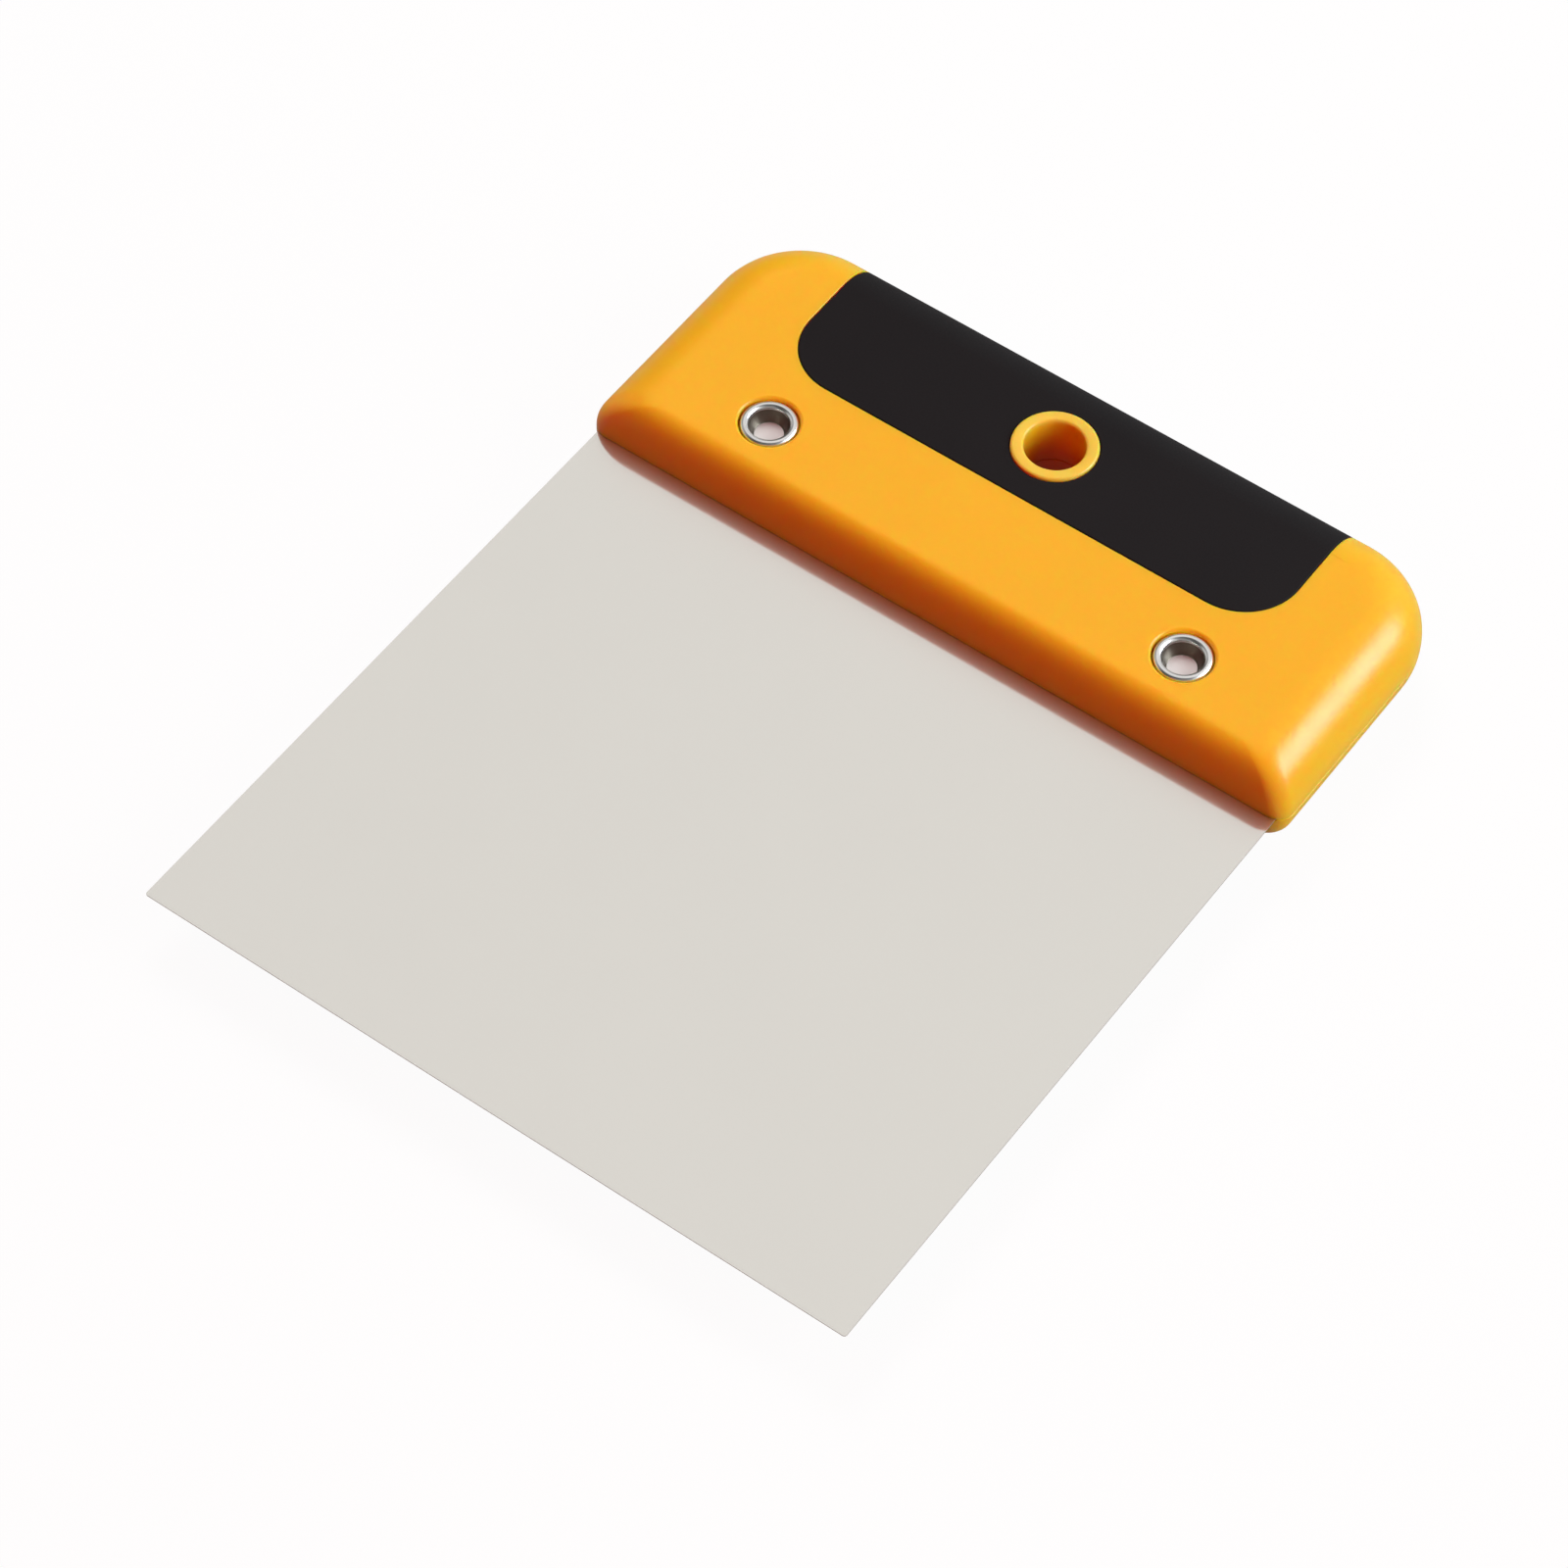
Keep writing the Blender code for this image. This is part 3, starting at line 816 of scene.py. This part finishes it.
nickel, tree, shader = new_finish("nickel_plate", Metallic=1.0)
space = own_space(tree)
from_axis = distance(tree, own_space(tree, FLATTEN), (0.0, 0.0, 0.0))
height = add_node(tree, "SeparateXYZ", {"Vector": space}).outputs["Z"]
ring_space = add_node(tree, "CombineXYZ", {"X": from_axis, "Z": height}).outputs["Vector"]
rings = noise(tree, ring_space, RING_SIZE)
colour = between(tree, noise(tree, space, SATIN_SIZE), NICKEL, NICKEL_PALE)
tree.links.new(colour, shader.inputs["Base Color"])
tree.links.new(spread(tree, rings, *NICKEL_ROUGHNESS), shader.inputs["Roughness"])
raise_grain(tree, shader, rings, RING_DEPTH)


def plain_metal(name, metallic, colours, roughness):
    """Metal that only a fine grain varies."""
    material, tree, shader = new_finish(name, Metallic=metallic)
    grain = noise(tree, own_space(tree), GRAIN_SIZE)
    tree.links.new(between(tree, grain, *colours), shader.inputs["Base Color"])
    tree.links.new(spread(tree, grain, *roughness), shader.inputs["Roughness"])
    return material


dull = plain_metal("dull_plate", DULL_METALLIC, (NICKEL, NICKEL_PALE), DULL_ROUGHNESS)
# the tube's wall finish carries painted shade
shaded_wall = plain_metal("painted_shade_wall", 1.0, (WALL_PAINTED_SHADE, WALL_PAINTED_SHADE_PALE), SHADED_WALL_ROUGHNESS)
DULL_SLOT, SHADED_WALL_SLOT = 1, 2  # the nickel plate is in slot 0
coat(rivets.values(), nickel, dull, shaded_wall)
# faces of the tube's wall take the painted shade, the bottom takes the dull plate
for piece in rivets.values():
    for face in piece.data.polygons:
        from_axis = math.hypot(face.center.x, face.center.y)
        if 0.0 < face.center.z < LIP_TOP - LIP_ROUND and from_axis < LIP_RADIUS - 2 * LIP_ROUND:
            face.material_index = DULL_SLOT if from_axis < BORE_RADIUS - BOTTOM_ROUND else SHADED_WALL_SLOT

# %% [markdown]
# ## The room
# Metal looks like what it mirrors, so the world is a dim room with soft-edged panels on its walls.
# The bright one above fills the blade in the photograph. Weaker ones behind, to both sides and in
# front keep the blade from going black in other views. Only gloss sees the panels. Matt surfaces
# get a trace of even light from the room, and the camera sees plain white.

# %% World
ABOVE = Vector((-0.20, 0.42, 0.885))
BEHIND = Vector((0.0, 0.95, 0.30))
LEFT = Vector((-0.96, -0.17, 0.22))
RIGHT = Vector((0.95, 0.0, 0.31))
FRONT = Vector((0.45, -0.82, 0.35))
ABOVE_FADE = (0.80, 0.96)  # cosines of the angles where a panel has ended and where it is full
SIDE_FADE = (0.75, 0.97)
ABOVE_LEVEL = 1.0
SIDE_LEVEL = 0.7
FRONT_LEVEL = 0.3
ROOM_LEVEL = 0.06
FILL = 0.015  # light of the whole room on matt surfaces

scene = bpy.context.scene
world = bpy.data.worlds.new("studio_walls")
scene.world = world
world.use_nodes = True
world.cycles.sampling_method = "NONE"
tree = world.node_tree
background = tree.nodes["Background"]
background.inputs["Color"].default_value = (1.0, 1.0, 1.0, 1.0)
direction = add_node(tree, "TexCoord").outputs["Generated"]


def panel(tree, direction, axis, fade, level):
    """Brightness of a soft-edged round panel on the wall of the room."""
    pair = {0: direction, 1: axis}
    facing = add_node(tree, "VectorMath", pair, operation="DOT_PRODUCT").outputs["Value"]
    return remap(tree, facing, *fade, ROOM_LEVEL, level, interpolation_type="SMOOTHSTEP")


walls = panel(tree, direction, ABOVE, ABOVE_FADE, ABOVE_LEVEL)
for axis in (BEHIND, LEFT, RIGHT):
    walls = larger(tree, walls, panel(tree, direction, axis, SIDE_FADE, SIDE_LEVEL))
walls = larger(tree, walls, panel(tree, direction, FRONT, SIDE_FADE, FRONT_LEVEL))
path = add_node(tree, "LightPath").outputs
mirrored = remap(tree, path["Is Glossy Ray"], 0.0, 1.0, FILL, walls)
white = larger(tree, path["Is Camera Ray"], path["Is Transmission Ray"])
tree.links.new(larger(tree, mirrored, white), background.inputs["Strength"])
print(f"{world.name}: {len(tree.nodes)} nodes")

# %% [markdown]
# ## Lamps
# The photograph has two soft lamps behind the knife, one to each side, and little light from the
# front: the handle's front falls into shade and the right end carries a long soft highlight. Two
# softboxes light the matt surfaces. A wide card in front returns only the red of that light, which
# is what the shaded front shows. The glint is a lamp for gloss alone. It draws the highlight along
# the right end, and light linking keeps it off the blade, which mirrors the room's panels instead.

# %% Lamps
LAMP_TARGET = BENCH + Vector((0.0, DEPTH / 2, 0.0))
LAMP_DISTANCE = 0.9
WHITE = (1.0, 1.0, 1.0)
COOL = (0.85, 0.92, 1.0)
CARD_RED = (1.0, 0.01, 0.0)
TO_LEFT_SOFTBOX = (-0.43, 0.40, 0.81)
TO_RIGHT_SOFTBOX = (0.87, 0.22, 0.44)
TO_FRONT_CARD = (0.0, -0.62, 0.78)
TO_RIGHT_GLINT = (0.70, 0.483, 0.53)


def softbox(name, towards, side, radiance, colour=WHITE, mirrored=False):
    """Square lamp that shines back along a direction; it lights matt surfaces or shows in gloss."""
    data = bpy.data.lights.new(name, "AREA")
    data.shape = "SQUARE"
    data.size = side
    data.energy = radiance * math.pi * side ** 2
    data.color = colour
    lamp = bpy.data.objects.new(name, data)
    scene.collection.objects.link(lamp)
    towards = Vector(towards).normalized()
    lamp.location = LAMP_TARGET + LAMP_DISTANCE * towards
    lamp.rotation_mode = "QUATERNION"
    lamp.rotation_quaternion = (-towards).to_track_quat("-Z", "Y")
    lamp.visible_camera = False
    lamp.visible_glossy = mirrored
    lamp.visible_diffuse = not mirrored
    print(f"{name}: {data.energy:.2f} W")
    return lamp


softbox("left_softbox", TO_LEFT_SOFTBOX, side=0.40, radiance=11.9)
softbox("right_softbox", TO_RIGHT_SOFTBOX, side=0.58, radiance=7.3)
softbox("front_card", TO_FRONT_CARD, side=0.90, radiance=1.75, colour=CARD_RED)
glint = softbox("right_glint", TO_RIGHT_GLINT, side=0.48, radiance=21.0, colour=COOL, mirrored=True)
receivers = bpy.data.collections.new("right_glint_receivers")
handle = (upper_handle_shell, lower_handle_shell, upper_soft_grip, lower_soft_grip)
for piece in (*handle, *rivets.values()):
    receivers.objects.link(piece)
glint.light_linking.receiver_collection = receivers

# %% [markdown]
# ## Floor
# The knife lies on a plain white floor. The camera should see it as white, but the knife's soft
# shadow has to stay. So most of what the camera sees is even white light, and a small share is a
# matt surface that the knife shades. Gloss sees a weaker white, and all other rays only the matt.

# %% Floor
FLOOR_HALF = 6.0
FLOOR_SQUARES = 8
FLOOR_SHADE = 0.10  # share of the floor's look that takes shadow
FLOOR_MIRRORED = 0.15  # share of white light where gloss mirrors the floor
FLOOR_GREY = 0.35
FLOOR_GLOW = 1.06
FLOOR_DROP = 0.02 * MM

bm = bmesh.new()
bmesh.ops.create_grid(bm, x_segments=FLOOR_SQUARES, y_segments=FLOOR_SQUARES, size=FLOOR_HALF)
floor = place("floor", bm)
floor.location = (0.0, 0.0, underside - FLOOR_DROP)
floor_white = bpy.data.materials.new("floor_white")
floor_white.use_nodes = True
tree = floor_white.node_tree
tree.nodes.remove(tree.nodes["Principled BSDF"])
matt = add_node(tree, "BsdfDiffuse", {"Color": (FLOOR_GREY, FLOOR_GREY, FLOOR_GREY, 1.0)})
glow = add_node(tree, "Emission", {"Color": (1.0, 1.0, 1.0, 1.0), "Strength": FLOOR_GLOW})
path = add_node(tree, "LightPath").outputs
seen = larger(tree, path["Is Camera Ray"], path["Is Transmission Ray"])
seen = remap(tree, seen, 0.0, 1.0, high=1.0 - FLOOR_SHADE)
mirrored = remap(tree, path["Is Glossy Ray"], 0.0, 1.0, high=FLOOR_MIRRORED)
share = larger(tree, mirrored, seen)
mixed = add_node(tree, "MixShader", {0: share, 1: matt.outputs[0], 2: glow.outputs[0]})
tree.links.new(mixed.outputs[0], tree.nodes["Material Output"].inputs["Surface"])
floor_white.cycles.emission_sampling = "NONE"
coat((floor,), floor_white)

# %% [markdown]
# ## Camera
# The camera stands where the photograph was taken from: in front and to the right of the knife,
# well above it, with a long lens. Its roll of about one degree is in the photograph too.

# %% Camera
CAMERA_AZIMUTH = math.radians(35.07)
CAMERA_ELEVATION = math.radians(53.83)
CAMERA_ROLL = math.radians(1.10)
CAMERA_DISTANCE = 787.1 * MM
CAMERA_LENS = 122.44
SENSOR = 36.0
AIM_X, AIM_Y = 0.54 * MM, -8.13 * MM  # the point of the blade's level in the middle of the picture
AIM = Vector((AIM_X, AIM_Y, blade_high.z))

lens = bpy.data.cameras.new("photo_camera")
lens.lens = CAMERA_LENS
lens.sensor_width = SENSOR
camera = bpy.data.objects.new("photo_camera", lens)
scene.collection.objects.link(camera)
back = Vector((
    math.sin(CAMERA_AZIMUTH) * math.cos(CAMERA_ELEVATION),
    -math.cos(CAMERA_AZIMUTH) * math.cos(CAMERA_ELEVATION),
    math.sin(CAMERA_ELEVATION),
))
camera.location = AIM + CAMERA_DISTANCE * back
camera.rotation_mode = "QUATERNION"
level_view = (-back).to_track_quat("-Z", "Y")
camera.rotation_quaternion = level_view @ Quaternion((0.0, 0.0, 1.0), CAMERA_ROLL)
scene.camera = camera
scene.view_settings.view_transform = "Standard"
print("camera at", [round(length / MM) for length in camera.location], "mm")
